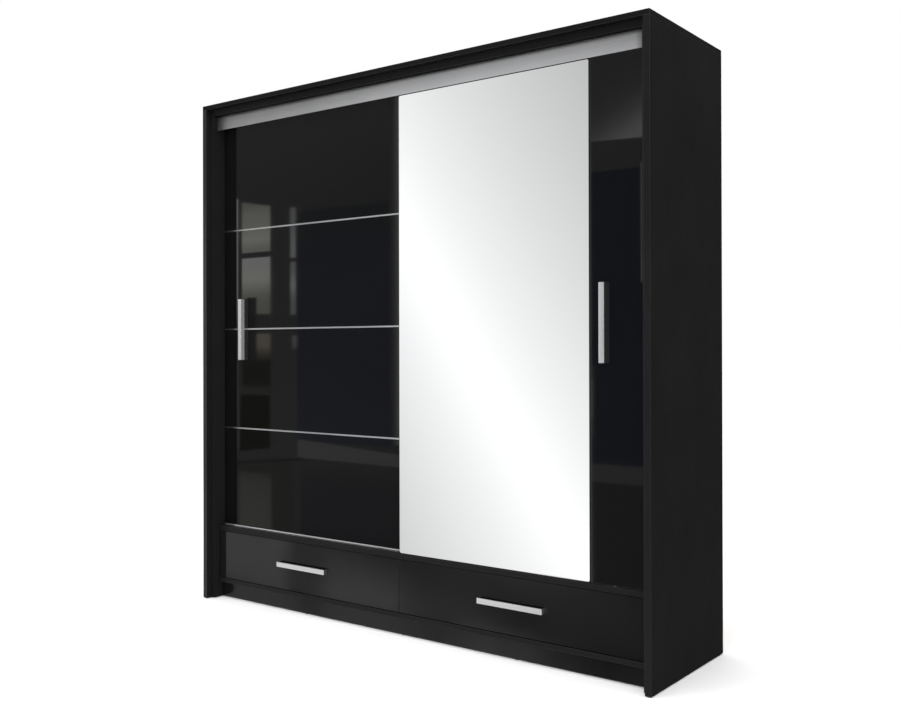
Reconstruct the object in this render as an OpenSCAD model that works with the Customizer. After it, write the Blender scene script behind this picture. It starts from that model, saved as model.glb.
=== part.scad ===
// Sliding door wardrobe: outer frame, carcass, two sliding doors on a double track, two drawers.
// X runs along the width, Y from front to back, Z up. The origin is at the centre of the footprint,
// at floor level. Lengths are millimetres.

/* [Overall] */
// Width over the outer side panels
width = 2080; // [1900:10:2300]
// Height from the floor to the top of the top board
height = 2150; // [2000:10:2300]
// Depth over the outer side panels
depth = 600; // [580:10:680]

/* [Boards] */
// Thickness of the outer side panels
frame_board = 22; // [20:1:28]
// Thickness of the top board
top_thickness = 18; // [16:1:22]
// Thickness of the carcass top, under the top board
carcass_top_thickness = 25; // [16:1:28]
// Thickness of the other carcass boards and the drawer fronts
board = 16; // [16:1:18]
// Thickness of the wardrobe floor and the base board
deck_board = 18; // [16:1:22]
// Thickness of a door's board
door_board = 10; // [10:1:12]
// Thickness of the mirror and the black glass
glass = 4; // [3:1:4]
// Thickness of the back sheets
back_sheet = 3; // [3:1:4]

/* [Setbacks behind the outer frame] */
// Front edge of the inner side panels and the carcass top
inner_setback = 28; // [20:1:40]
// Front face of the pelmet
pelmet_setback = 50; // [44:1:56]
// Front edge of the wardrobe floor and the base board
deck_setback = 54; // [48:1:58]
// Front face of the drawer fronts
drawer_setback = 57; // [56:1:64]
// Front face of the plinth
plinth_setback = 80; // [70:1:100]

/* [Levels above the floor] */
// Height of the floor glides
glide_height = 3; // [2:1:5]
// Top face of the base board
base_top = 88; // [70:1:110]
// Top face of the wardrobe floor
deck_top = 313; // [300:1:340]
// Middle of the lowest aluminium strip on the rear door
first_strip_level = 744; // [700:1:800]
// Distance from one aluminium strip to the next
strip_pitch = 431; // [400:1:440]

/* [Doors] */
// X of the front door's inner edge
door_split = 2; // [-10:1:10]
// Width by which the rear door runs behind the front door
door_overlap = 22; // [10:1:40]
// Distance from the front door's inner edge to the mirror
mirror_margin = 5; // [0:1:10]
// Width of the mirror panel
mirror_width = 793.5; // [700:0.5:850]
// Radius of the mirror's corners
mirror_corner = 6; // [1:1:10]
// Height of the pelmet
pelmet_height = 60; // [50:1:80]
// Height of an aluminium strip on the rear door
strip_height = 6; // [4:1:10]
// Height of the trim along the rear door's lower edge
trim_height = 6; // [3:1:12]
// Outer radius of a door roller
roller_radius = 12; // [11:1:14]

/* [Handles] */
// Length of a bar handle
handle_length = 264; // [180:1:300]
// Width of the bar
handle_width = 20; // [16:1:30]
// Thickness of the bar's front plate
handle_plate = 5; // [4:1:6]
// Thickness of the bar's side web and end caps
handle_web = 4; // [3:1:5]
// Distance from the face behind a handle to the handle's own face
handle_reach = 20; // [18:1:20]
// Distance from the front door's outer edge to its handle
front_handle_inset = 134; // [100:1:160]
// Distance from the rear door's outer edge to its handle
rear_handle_inset = 105; // [90:1:160]
// Height of the middle of the door handles
door_handle_level = 1173; // [1000:1:1300]
// Distance from the middle of the wardrobe to the middle of a drawer's handle
drawer_handle_x = 497; // [480:1:520]
// Height of the middle of the drawer handles
drawer_handle_level = 195; // [180:1:210]

/* [Drawers and interior] */
// Travel of a drawer
drawer_travel = 380; // [300:10:400]
// Length of the drawer runners
runner_length = 450; // [400:10:480]
// Height of the drawer box sides
drawer_box_height = 120; // [80:5:150]
// Number of adjustable shelves in the left bay
shelf_count = 4; // [2:1:5]
// Level of the lowest adjustable shelf's underside
lowest_shelf = 640; // [500:10:700]
// Level of the hat shelf's underside
hat_shelf_level = 1780; // [1700:10:1850]
// Outer radius of the hanging rail
rail_radius = 12.5; // [10:0.5:15]

/* [Hidden] */
round_sides = 96;
// Length by which a cutter runs past the face that it cuts
overrun = 1;

front = -depth / 2;
back = depth / 2;
half_width = width / 2;
frame_inner = half_width - frame_board;
bay_end = frame_inner - board;
half_partition = board / 2;
top_board_bottom = height - top_thickness;
carcass_top_bottom = top_board_bottom - carcass_top_thickness;
joint_strip = 1;
sheet_front = back - joint_strip - back_sheet;
pelmet_bottom = carcass_top_bottom - pelmet_height;

// Tracks: a flat plate with walls at the top, and a flat plate with one rib per door at the bottom
track_wall = 1.5;
pelmet_plate = 2;
half_channel = 9.5;
channel_depth = 36;
rib_width = 2;
rib_height = 3;
track_front_margin = 8;
track_back_margin = 9;

// Doors: the glass stands in front of the board, and each board's middle plane lies over its rib
door_edge_gap = 3.5;
door_floor_gap = 5;
lift_off_room = 22;
glass_overlap = 16;
mirror_top_gap = 2.5;
glass_gap = 4.5;
pelmet_clearance = 2;
door_bottom = deck_top + door_floor_gap;
door_top = carcass_top_bottom - lift_off_room;
trim_clearance = 0.5;
trim_bottom = deck_top + track_wall + trim_clearance;
rear_glass_top = pelmet_bottom + glass_overlap;
front_glass_top = pelmet_bottom - mirror_top_gap;
front_door_face = front + pelmet_setback + pelmet_plate + pelmet_clearance;
handle_clearance = 2;
rear_door_face = front_door_face + glass + door_board + handle_reach + handle_clearance;
door_outer = bay_end - door_edge_gap;
rear_door_end = door_split + door_overlap;
front_plane = front_door_face + glass + door_board / 2;
rear_plane = rear_door_face + glass + door_board / 2;
front_handle_x = door_outer - front_handle_inset - handle_width / 2;
rear_handle_x = -door_outer + rear_handle_inset + handle_width / 2;

// Rollers: the groove of each roller stands just clear of its rib
roller_gap = 0.3;
groove_depth = 2;
groove_width = 3;
roller_width = 6;
stub_radius = 2.5;
stub_clearance = 0.05;
roller_inset = 110;
roller_level = deck_top + track_wall + rib_height + roller_gap + roller_radius - groove_depth;
housing_length = 44;
housing_cap = 8;
housing_top = roller_level + roller_radius + housing_cap;
slot_margin = 1.5;
guide_length = 50;
guide_height = 14;
guide_clearance = 0.3;
buffer_inset = 120;
buffer_radius = 6;
buffer_thickness = 3;

// Drawers: a box on telescopic runners behind an overlaying front
drawer_gap = 3;
front_side_gap = 2;
front_clearance = 1;
box_board = 12;
box_floor_gap = 12;
drawer_front_bottom = base_top + drawer_gap;
drawer_front_top = deck_top - deck_board - drawer_gap;
box_front = front + drawer_setback + board;
box_back = box_front + runner_length;
box_bottom = base_top + box_floor_gap;

// Runners: three nested channels in the gap between a bay wall and a box side
runner_width = 12.7;
runner_metal = 1.2;
runner_level = box_bottom + drawer_box_height / 2;
cabinet_half_height = 22.5;
cabinet_lip = 9;
middle_half_height = 20;
middle_offset = 2.4;
inner_half_height = 17;
inner_lip = 7.6;
box_x1 = half_partition + runner_width;
box_x2 = bay_end - runner_width;

// Interior
bay_setback = 120;
bay_front = front + bay_setback;
shelf_gap = 0.5;
pin_radius = 2.5;
pin_clearance = 0.05;
pin_seat = 8;
pin_reach = 8;
pin_inset = 50;
shelf_pitch = (hat_shelf_level - lowest_shelf) / (shelf_count - 1);
rail_drop = 60;
rail_level = hat_shelf_level - rail_drop;
rail_wall = 1.2;
rail_y = 60;
socket_radius = 22;
socket_flange = 3;
socket_wall = 2.5;
socket_depth = 14;
rail_clearance = 0.1;

shelf_levels = [for (i = [0:shelf_count - 1]) lowest_shelf + i * shelf_pitch];
pin_rows = [bay_front + pin_inset, sheet_front - pin_inset];

// A board between two opposite corners
module slab(low, high) {
    translate(low) cube(high - low);
}

// A round rod along X from x1 to x2, at the given depth and level
module rod_x(x1, x2, y, z, radius) {
    translate([x1, y, z]) rotate([0, 90, 0]) cylinder(h = x2 - x1, r = radius, $fn = round_sides);
}

// ---- Outer frame and carcass ----

module outer_side(side) {
    x = side < 0 ? -half_width : frame_inner;
    color("#1c1c1e") slab([x, front, glide_height], [x + frame_board, back, top_board_bottom]);
}

module outer_side_left() {
    outer_side(-1);
}

module outer_side_right() {
    outer_side(1);
}

module top_board() {
    color("#1c1c1e") slab([-half_width, front, top_board_bottom], [half_width, back, height]);
}

// Bores for shelf pins through the span x1 to x2, under each listed shelf level
module pin_bores(x1, x2, levels) {
    for (level = levels)
        for (y = pin_rows)
            rod_x(x1, x2, y, level - pin_radius, pin_radius);
}

module inner_side(side, levels) {
    x = side < 0 ? -frame_inner : bay_end;
    inner_face = side * bay_end;
    seat = inner_face + side * pin_seat;
    color("#18181a") difference() {
        slab([x, front + inner_setback, glide_height], [x + board, sheet_front, carcass_top_bottom]);
        pin_bores(min(inner_face - side * overrun, seat), max(inner_face - side * overrun, seat), levels);
    }
}

module inner_side_left() {
    inner_side(-1, shelf_levels);
}

module inner_side_right() {
    inner_side(1, [hat_shelf_level]);
}

module carcass_top() {
    color("#18181a") slab(
        [-frame_inner, front + inner_setback, carcass_top_bottom],
        [frame_inner, sheet_front, top_board_bottom]
    );
}

module deck(top) {
    color("#18181a") slab(
        [-bay_end, front + deck_setback, top - deck_board],
        [bay_end, sheet_front, top]
    );
}

module wardrobe_floor() {
    deck(deck_top);
}

module base_board() {
    deck(base_top);
}

module plinth(y) {
    color("#1a1a1c") slab([-bay_end, y, glide_height], [bay_end, y + board, base_top - deck_board]);
}

module plinth_front() {
    plinth(front + plinth_setback);
}

module plinth_back() {
    plinth(sheet_front - board);
}

module centre_partition() {
    seat = half_partition - pin_seat / 2;
    color("#18181a") difference() {
        slab([-half_partition, bay_front, deck_top], [half_partition, sheet_front, carcass_top_bottom]);
        pin_bores(-half_partition - overrun, -seat, shelf_levels);
        pin_bores(seat, half_partition + overrun, [hat_shelf_level]);
    }
}

module drawer_partition() {
    color("#18181a") slab(
        [-half_partition, box_front + front_clearance, base_top],
        [half_partition, sheet_front, deck_top - deck_board]
    );
}

module back_sheet_panel(side) {
    x1 = side < 0 ? -frame_inner : joint_strip;
    x2 = side < 0 ? -joint_strip : frame_inner;
    color("#5b4330") slab(
        [x1, sheet_front, base_top - deck_board],
        [x2, sheet_front + back_sheet, top_board_bottom]
    );
}

module back_sheet_left() {
    back_sheet_panel(-1);
}

module back_sheet_right() {
    back_sheet_panel(1);
}

// A T section: its web lies between the two sheets and its flange covers their edges
module back_joint_strip() {
    flange = 12;
    z = base_top - deck_board;
    color("#202022") {
        slab([-joint_strip, sheet_front, z], [joint_strip, back - joint_strip, top_board_bottom]);
        slab([-flange, back - joint_strip, z], [flange, back, top_board_bottom]);
    }
}

module floor_glides() {
    glide_radius = 9;
    inset = 30;
    color("#2a2a2c") {
        for (side = [-1, 1])
            for (y = [front + inset, 0, back - inset])
                translate([side * (half_width - frame_board / 2), y, 0])
                    cylinder(h = glide_height, r = glide_radius, $fn = round_sides);
        for (x = [-bay_end / 2, 0, bay_end / 2])
            for (y = [front + plinth_setback + board / 2, sheet_front - board / 2])
                translate([x, y, 0])
                    cylinder(h = glide_height, r = board / 2, $fn = round_sides);
    }
}

// ---- Tracks ----

module pelmet() {
    color("#b4b6b9") slab(
        [-bay_end, front + pelmet_setback, pelmet_bottom],
        [bay_end, front + pelmet_setback + pelmet_plate, carcass_top_bottom]
    );
}

module track_walls(plane) {
    for (y = [plane - half_channel - track_wall, plane + half_channel])
        slab(
            [-bay_end, y, carcass_top_bottom - channel_depth],
            [bay_end, y + track_wall, carcass_top_bottom - track_wall]
        );
}

module top_track() {
    color("#a8aaad") {
        slab(
            [-bay_end, front_plane - half_channel - track_wall, carcass_top_bottom - track_wall],
            [bay_end, rear_plane + half_channel + track_wall, carcass_top_bottom]
        );
        track_walls(front_plane);
        track_walls(rear_plane);
    }
}

module bottom_track() {
    color("#161618") {
        slab(
            [-bay_end, front_plane - track_front_margin, deck_top],
            [bay_end, rear_plane + track_back_margin, deck_top + track_wall]
        );
        for (y = [front_plane, rear_plane])
            slab(
                [-bay_end, y - rib_width / 2, deck_top + track_wall],
                [bay_end, y + rib_width / 2, deck_top + track_wall + rib_height]
            );
    }
}

// Two buffers where each door closes against its inner side panel
module door_buffers() {
    color("#303032")
        for (z = [door_bottom + buffer_inset, front_glass_top - buffer_inset]) {
            rod_x(bay_end - buffer_thickness, bay_end, front_plane, z, buffer_radius);
            rod_x(-bay_end, -bay_end + buffer_thickness, rear_plane, z, buffer_radius);
        }
}

// ---- Interior ----

// A shelf in the left (-1) or right (1) bay with its underside at the given level
module bay_shelf(side, level) {
    x1 = side < 0 ? -bay_end + shelf_gap : half_partition + shelf_gap;
    x2 = side < 0 ? -half_partition - shelf_gap : bay_end - shelf_gap;
    color("#18181a") slab([x1, bay_front + shelf_gap, level], [x2, sheet_front - shelf_gap, level + board]);
}

module bay_shelves() {
    for (level = shelf_levels)
        bay_shelf(-1, level);
}

module hat_shelf() {
    bay_shelf(1, hat_shelf_level);
}

// Four pins under one shelf, each seated in its bore and reaching under the shelf
module shelf_pin_set(side, level) {
    radius = pin_radius - pin_clearance;
    partition_seat = half_partition - pin_seat / 2;
    for (y = pin_rows) {
        outer_face = bay_end + pin_seat;
        inner_end = half_partition + pin_reach;
        z = level - pin_radius + pin_clearance;
        rod_x(
            side < 0 ? -outer_face : bay_end - pin_reach,
            side < 0 ? -bay_end + pin_reach : outer_face,
            y, z, radius
        );
        rod_x(
            side < 0 ? -inner_end : partition_seat,
            side < 0 ? -partition_seat : inner_end,
            y, z, radius
        );
    }
}

module shelf_pins() {
    color("#c0c2c4") {
        for (level = shelf_levels)
            shelf_pin_set(-1, level);
        shelf_pin_set(1, hat_shelf_level);
    }
}

module hanging_rail() {
    x1 = half_partition + socket_flange;
    x2 = bay_end - socket_flange;
    color("#d0d2d4") difference() {
        rod_x(x1, x2, rail_y, rail_level, rail_radius);
        rod_x(x1 - overrun, x2 + overrun, rail_y, rail_level, rail_radius - rail_wall);
    }
}

// A flange on the panel with a cup that holds the rail's end
module rail_socket(x, direction) {
    cup_inner = rail_radius + rail_clearance;
    translate([x, rail_y, rail_level]) rotate([0, direction * 90, 0]) {
        cylinder(h = socket_flange, r = socket_radius, $fn = round_sides);
        difference() {
            cylinder(h = socket_depth, r = cup_inner + socket_wall, $fn = round_sides);
            translate([0, 0, socket_flange])
                cylinder(h = socket_depth, r = cup_inner, $fn = round_sides);
        }
    }
}

module rail_sockets() {
    color("#b8babc") {
        rail_socket(half_partition, 1);
        rail_socket(bay_end, -1);
    }
}

// ---- Shared door pieces ----

// An angle handle along Z, mounted on the plane y = 0: a front plate that faces -Y, a web along
// its +X side and a cap at each end, so that it is open for the fingers on its -X side
module bar_handle() {
    half_bar = handle_width / 2;
    half_length = handle_length / 2;
    color("#c4c6c8") {
        slab([-half_bar, -handle_reach, -half_length], [half_bar, handle_plate - handle_reach, half_length]);
        slab([half_bar - handle_web, handle_plate - handle_reach, -half_length], [half_bar, 0, half_length]);
        for (z = [-half_length, half_length - handle_web])
            slab(
                [-half_bar, handle_plate - handle_reach, z],
                [half_bar - handle_web, 0, z + handle_web]
            );
    }
}

// The door board, with a notch in its lower edge for each roller housing
module notched_board(x1, x2, face) {
    color("#161618") difference() {
        slab([x1, face + glass, door_bottom], [x2, face + glass + door_board, door_top]);
        for (x = [x1 + roller_inset, x2 - roller_inset])
            slab(
                [x - housing_length / 2, face, door_bottom - overrun],
                [x + housing_length / 2, face + glass + door_board + overrun, housing_top]
            );
    }
}

// Two housings that fill a board's notches and carry the rollers' stub axles
module roller_housings(x1, x2, plane) {
    half_slot = roller_width / 2 + roller_gap;
    color("#3a3a3c")
        for (x = [x1 + roller_inset, x2 - roller_inset])
            difference() {
                slab(
                    [x - housing_length / 2, plane - door_board / 2, door_bottom],
                    [x + housing_length / 2, plane + door_board / 2, housing_top]
                );
                slab(
                    [x - roller_radius - slot_margin, plane - half_slot, door_bottom - overrun],
                    [x + roller_radius + slot_margin, plane + half_slot,
                     roller_level + roller_radius + slot_margin]
                );
                translate([x, plane + door_board, roller_level]) rotate([90, 0, 0])
                    cylinder(h = 2 * door_board, r = stub_radius + stub_clearance, $fn = round_sides);
            }
}

// A grooved roller with a stub axle on each side
module roller(x, plane) {
    half = roller_width / 2;
    groove = groove_width / 2;
    core = roller_radius - groove_depth;
    stub_end = door_board / 2;
    color("#e4e2da") translate([x, plane, roller_level]) rotate([90, 0, 0])
        rotate_extrude($fn = round_sides) polygon([
            [0, -stub_end], [stub_radius, -stub_end], [stub_radius, -half], [roller_radius, -half],
            [roller_radius, -groove], [core, -groove], [core, groove], [roller_radius, groove],
            [roller_radius, half], [stub_radius, half], [stub_radius, stub_end], [0, stub_end]
        ]);
}

// Two round-ended blocks on a door's top edge that run in the top track
module top_guides(x1, x2, plane) {
    half_guide = half_channel - guide_clearance;
    half_straight = guide_length / 2 - half_guide;
    color("#3a3a3c")
        for (x = [x1 + roller_inset, x2 - roller_inset]) {
            slab(
                [x - half_straight, plane - half_guide, door_top],
                [x + half_straight, plane + half_guide, door_top + guide_height]
            );
            for (end = [-half_straight, half_straight])
                translate([x + end, plane, door_top])
                    cylinder(h = guide_height, r = half_guide, $fn = round_sides);
        }
}

// ---- Front door, on the right ----

module front_door_board() {
    notched_board(door_split, door_outer, front_door_face);
}

// The mirror: a sheet with rounded corners, its face towards -Y
module mirror_panel() {
    w = mirror_width - 2 * mirror_corner;
    h = front_glass_top - door_bottom - 2 * mirror_corner;
    x = door_split + mirror_margin + mirror_corner;
    z = door_bottom + mirror_corner;
    y = front_door_face + glass;
    color("#e8ecef") {
        slab([x - mirror_corner, y - glass, z], [x + w + mirror_corner, y, z + h]);
        slab([x, y - glass, z - mirror_corner], [x + w, y, z + h + mirror_corner]);
        for (cx = [x, x + w])
            for (cz = [z, z + h])
                translate([cx, y, cz]) rotate([90, 0, 0])
                    cylinder(h = glass, r = mirror_corner, $fn = round_sides);
    }
}

module front_glass_strip() {
    color("#0b0c10") slab(
        [door_split + mirror_margin + mirror_width + glass_gap, front_door_face, door_bottom],
        [door_outer, front_door_face + glass, front_glass_top]
    );
}

module front_door_handle() {
    translate([front_handle_x, front_door_face, door_handle_level]) bar_handle();
}

module front_roller_housings() {
    roller_housings(door_split, door_outer, front_plane);
}

module front_top_guides() {
    top_guides(door_split, door_outer, front_plane);
}

module front_roller_left() {
    roller(door_split + roller_inset, front_plane);
}

module front_roller_right() {
    roller(door_outer - roller_inset, front_plane);
}

// ---- Rear door, on the left ----

module rear_door_board() {
    notched_board(-door_outer, rear_door_end, rear_door_face);
}

// Panel number i, counted from the bottom, between two strips
module rear_glass(i) {
    z1 = i == 1 ? trim_bottom + trim_height : first_strip_level + (i - 2) * strip_pitch + strip_height / 2;
    z2 = i == 4 ? rear_glass_top : first_strip_level + (i - 1) * strip_pitch - strip_height / 2;
    color("#0b0c10") slab([-door_outer, rear_door_face, z1], [rear_door_end, rear_door_face + glass, z2]);
}

module rear_glass_1() {
    rear_glass(1);
}

module rear_glass_2() {
    rear_glass(2);
}

module rear_glass_3() {
    rear_glass(3);
}

module rear_glass_4() {
    rear_glass(4);
}

// An aluminium strip across the rear door, flush with the glass
module door_strip(z1, z2) {
    color("#b0b2b5") slab(
        [-door_outer, rear_door_face, z1],
        [rear_door_end, rear_door_face + glass, z2]
    );
}

module rear_door_strips() {
    for (i = [0:2]) {
        level = first_strip_level + i * strip_pitch;
        door_strip(level - strip_height / 2, level + strip_height / 2);
    }
}

module rear_door_trim() {
    door_strip(trim_bottom, trim_bottom + trim_height);
}

module rear_door_handle() {
    translate([rear_handle_x, rear_door_face, door_handle_level]) bar_handle();
}

module rear_roller_housings() {
    roller_housings(-door_outer, rear_door_end, rear_plane);
}

module rear_top_guides() {
    top_guides(-door_outer, rear_door_end, rear_plane);
}

module rear_roller_left() {
    roller(-door_outer + roller_inset, rear_plane);
}

module rear_roller_right() {
    roller(rear_door_end - roller_inset, rear_plane);
}

// ---- Drawers ----

// The right-hand drawer is drawn, and the left-hand one is its mirror image
module on_side(side) {
    if (side < 0) mirror([1, 0, 0]) children();
    else children();
}

module drawer_front(side) {
    color("#1e1e20") on_side(side) slab(
        [drawer_gap / 2, front + drawer_setback, drawer_front_bottom],
        [bay_end - front_side_gap, box_front, drawer_front_top]
    );
}

module drawer_sides(side) {
    color("#2a2a2c") on_side(side)
        for (x = [box_x1, box_x2 - box_board])
            slab([x, box_front, box_bottom], [x + box_board, box_back, box_bottom + drawer_box_height]);
}

module drawer_back(side) {
    color("#2a2a2c") on_side(side) slab(
        [box_x1 + box_board, box_back - box_board, box_bottom],
        [box_x2 - box_board, box_back, box_bottom + drawer_box_height]
    );
}

module drawer_bottom(side) {
    color("#3a3a3c") on_side(side) slab(
        [box_x1, box_front, box_bottom - back_sheet],
        [box_x2, box_back, box_bottom]
    );
}

module drawer_handle(side) {
    on_side(side) translate([drawer_handle_x, front + drawer_setback, drawer_handle_level])
        rotate([0, 90, 0]) bar_handle();
}

// A channel along Y: its web lies at x = 0 to runner_metal and its lips reach to the given depth
module channel(half_height, lip_depth) {
    slab([0, 0, -half_height], [runner_metal, runner_length, half_height]);
    for (z = [-half_height, half_height - runner_metal])
        slab([0, 0, z], [lip_depth, runner_length, z + runner_metal]);
}

// One member of both runners of a drawer, placed against the bay's two walls
module runner_pair(side) {
    color("#9c9fa3") on_side(side) {
        translate([half_partition, box_front + front_clearance, runner_level]) children();
        translate([bay_end, box_front + front_clearance, runner_level]) mirror([1, 0, 0]) children();
    }
}

module cabinet_runners() {
    for (side = [-1, 1])
        runner_pair(side) channel(cabinet_half_height, cabinet_lip);
}

module middle_runners(side) {
    runner_pair(side) translate([middle_offset, 0, 0]) channel(middle_half_height, inner_lip);
}

module drawer_runners(side) {
    runner_pair(side) translate([runner_width, 0, 0]) mirror([1, 0, 0])
        channel(inner_half_height, inner_lip);
}

module left_drawer_front() {
    drawer_front(-1);
}

module left_drawer_sides() {
    drawer_sides(-1);
}

module left_drawer_back() {
    drawer_back(-1);
}

module left_drawer_bottom() {
    drawer_bottom(-1);
}

module left_drawer_handle() {
    drawer_handle(-1);
}

module left_drawer_runners() {
    drawer_runners(-1);
}

module left_middle_runners() {
    middle_runners(-1);
}

module right_drawer_front() {
    drawer_front(1);
}

module right_drawer_sides() {
    drawer_sides(1);
}

module right_drawer_back() {
    drawer_back(1);
}

module right_drawer_bottom() {
    drawer_bottom(1);
}

module right_drawer_handle() {
    drawer_handle(1);
}

module right_drawer_runners() {
    drawer_runners(1);
}

module right_middle_runners() {
    middle_runners(1);
}

outer_side_left();
outer_side_right();
top_board();
inner_side_left();
inner_side_right();
carcass_top();
wardrobe_floor();
base_board();
plinth_front();
plinth_back();
centre_partition();
drawer_partition();
back_sheet_left();
back_sheet_right();
back_joint_strip();
pelmet();
top_track();
bottom_track();
door_buffers();
floor_glides();
bay_shelves();
hat_shelf();
shelf_pins();
hanging_rail();
rail_sockets();
cabinet_runners();
front_door_board();
mirror_panel();
front_glass_strip();
front_door_handle();
front_roller_housings();
front_top_guides();
front_roller_left();
front_roller_right();
rear_door_board();
rear_glass_1();
rear_glass_2();
rear_glass_3();
rear_glass_4();
rear_door_strips();
rear_door_trim();
rear_door_handle();
rear_roller_housings();
rear_top_guides();
rear_roller_left();
rear_roller_right();
left_drawer_front();
left_drawer_sides();
left_drawer_back();
left_drawer_bottom();
left_drawer_handle();
left_drawer_runners();
left_middle_runners();
right_drawer_front();
right_drawer_sides();
right_drawer_back();
right_drawer_bottom();
right_drawer_handle();
right_drawer_runners();
right_middle_runners();
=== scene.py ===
import math

import bmesh
import bpy
from mathutils import Matrix, Vector


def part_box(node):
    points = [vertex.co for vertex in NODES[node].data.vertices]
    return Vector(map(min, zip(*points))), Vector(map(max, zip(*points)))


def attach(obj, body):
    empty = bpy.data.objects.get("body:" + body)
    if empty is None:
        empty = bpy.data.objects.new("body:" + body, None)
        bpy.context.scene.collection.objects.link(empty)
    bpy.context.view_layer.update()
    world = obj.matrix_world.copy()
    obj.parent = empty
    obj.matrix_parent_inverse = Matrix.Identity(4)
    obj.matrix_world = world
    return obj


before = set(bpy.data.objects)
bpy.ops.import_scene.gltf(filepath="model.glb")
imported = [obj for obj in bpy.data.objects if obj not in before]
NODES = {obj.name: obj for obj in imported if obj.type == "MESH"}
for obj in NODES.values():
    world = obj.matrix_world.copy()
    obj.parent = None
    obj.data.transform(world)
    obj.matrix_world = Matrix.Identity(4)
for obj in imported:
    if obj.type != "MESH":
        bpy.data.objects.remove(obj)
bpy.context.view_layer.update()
MM = 0.001
X, Y, Z = 0, 1, 2


# ---------------------------------------------------------------- shaders

class Nodes:
    """Short ways to build a node tree."""

    def __init__(self, tree):
        self.tree = tree

    def add(self, kind, **settings):
        node = self.tree.nodes.new(kind)
        for key, value in settings.items():
            setattr(node, key, value)
        return node

    def link(self, a, b):
        self.tree.links.new(a, b)

    def math(self, operation, *values, clamp=False):
        node = self.add("ShaderNodeMath", operation=operation, use_clamp=clamp)
        for socket, value in zip(node.inputs, values):
            if isinstance(value, (int, float)):
                socket.default_value = value
            else:
                self.link(value, socket)
        return node.outputs["Value"]

    def span(self, value, low, high, to_low, to_high):
        node = self.add("ShaderNodeMapRange")
        for key, number in (("From Min", low), ("From Max", high), ("To Min", to_low), ("To Max", to_high)):
            node.inputs[key].default_value = number
        self.link(value, node.inputs["Value"])
        return node.outputs["Result"]

    def axis(self, source, index):
        """One component of the object-space position or normal."""
        coords = self.add("ShaderNodeTexCoord")
        split = self.add("ShaderNodeSeparateXYZ")
        self.link(coords.outputs[source], split.inputs["Vector"])
        return split.outputs[index]

    def blend(self, factor, a, b):
        node = self.add("ShaderNodeMix", data_type="RGBA")
        self.link(factor, node.inputs["Factor"])
        for key, value in (("A", a), ("B", b)):
            socket = next(s for s in node.inputs if s.name == key and s.type == "RGBA")
            if isinstance(value, tuple):
                socket.default_value = (*value[:3], 1.0)
            else:
                self.link(value, socket)
        return next(s for s in node.outputs if s.type == "RGBA")

    def ramp(self, value, stops):
        node = self.add("ShaderNodeValToRGB")
        elements = node.color_ramp.elements
        while len(elements) < len(stops):
            elements.new(0.5)
        for element, (place, colour) in zip(elements, stops):
            element.position = place
            element.color = (*colour[:3], 1.0)
        self.link(value, node.inputs["Fac"])
        return node.outputs["Color"]


class Finish(Nodes):
    """A Principled material and the procedural textures that feed it, all in object space."""

    def __init__(self, name, colour, roughness, metallic=0.0, ior=1.5, **sockets):
        self.mat = bpy.data.materials.new(name)
        self.mat.use_nodes = True
        super().__init__(self.mat.node_tree)
        self.bsdf = next(n for n in self.tree.nodes if n.type == "BSDF_PRINCIPLED")
        self.set("Base Color", (*colour[:3], 1.0))
        self.set("Roughness", roughness)
        self.set("Metallic", metallic)
        self.set("IOR", ior)
        for key, value in sockets.items():
            self.set(key.replace("_", " "), value)
        self.mat.diffuse_color = (*colour[:3], 1.0)
        self.normal = None

    def set(self, socket, value):
        self.bsdf.inputs[socket].default_value = value

    def position(self, scale=(1, 1, 1)):
        coords = self.add("ShaderNodeTexCoord")
        mapping = self.add("ShaderNodeMapping")
        mapping.inputs["Scale"].default_value = scale
        self.link(coords.outputs["Object"], mapping.inputs["Vector"])
        return mapping.outputs["Vector"]

    def noise(self, scale, detail=3.0, stretch=(1, 1, 1), distortion=0.0):
        node = self.add("ShaderNodeTexNoise")
        node.inputs["Scale"].default_value = scale
        node.inputs["Detail"].default_value = detail
        node.inputs["Roughness"].default_value = 0.55
        node.inputs["Distortion"].default_value = distortion
        self.link(self.position(stretch), node.inputs["Vector"])
        return node.outputs["Fac"]

    def cells(self, scale):
        node = self.add("ShaderNodeTexVoronoi", feature="F1")
        node.inputs["Scale"].default_value = scale
        self.link(self.position(), node.inputs["Vector"])
        return node.outputs["Distance"]

    def faces(self, index, sign):
        """1 on the faces that look along an axis, and 0 elsewhere."""
        return self.math("GREATER_THAN", self.math("MULTIPLY", self.axis("Normal", index), float(sign)), 0.8)

    def painted_face_shade(self, colour, tones):
        """Painted shade: darkens the faces that look along an axis. A tone is (axis, sign, how much is left),
        and where it also has two heights, it fades in from the first to the second."""
        for index, sign, left, *heights in tones:
            facing = self.faces(index, sign)
            if heights:
                facing = self.math("MULTIPLY", facing, self.span(self.axis("Object", Z), *heights, 0, 1))
            colour = self.blend(self.math("MULTIPLY", facing, 1.0 - left), colour, (0.0, 0.0, 0.0))
        return colour

    def colour(self, output):
        self.link(output, self.bsdf.inputs["Base Color"])
        return self

    def roughness(self, output):
        self.link(output, self.bsdf.inputs["Roughness"])
        return self

    def bump(self, height, strength, distance):
        node = self.add("ShaderNodeBump")
        node.inputs["Strength"].default_value = strength
        node.inputs["Distance"].default_value = distance
        self.link(height, node.inputs["Height"])
        if self.normal is not None:
            self.link(self.normal, node.inputs["Normal"])
        self.normal = node.outputs["Normal"]
        self.link(self.normal, self.bsdf.inputs["Normal"])
        return self


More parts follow.
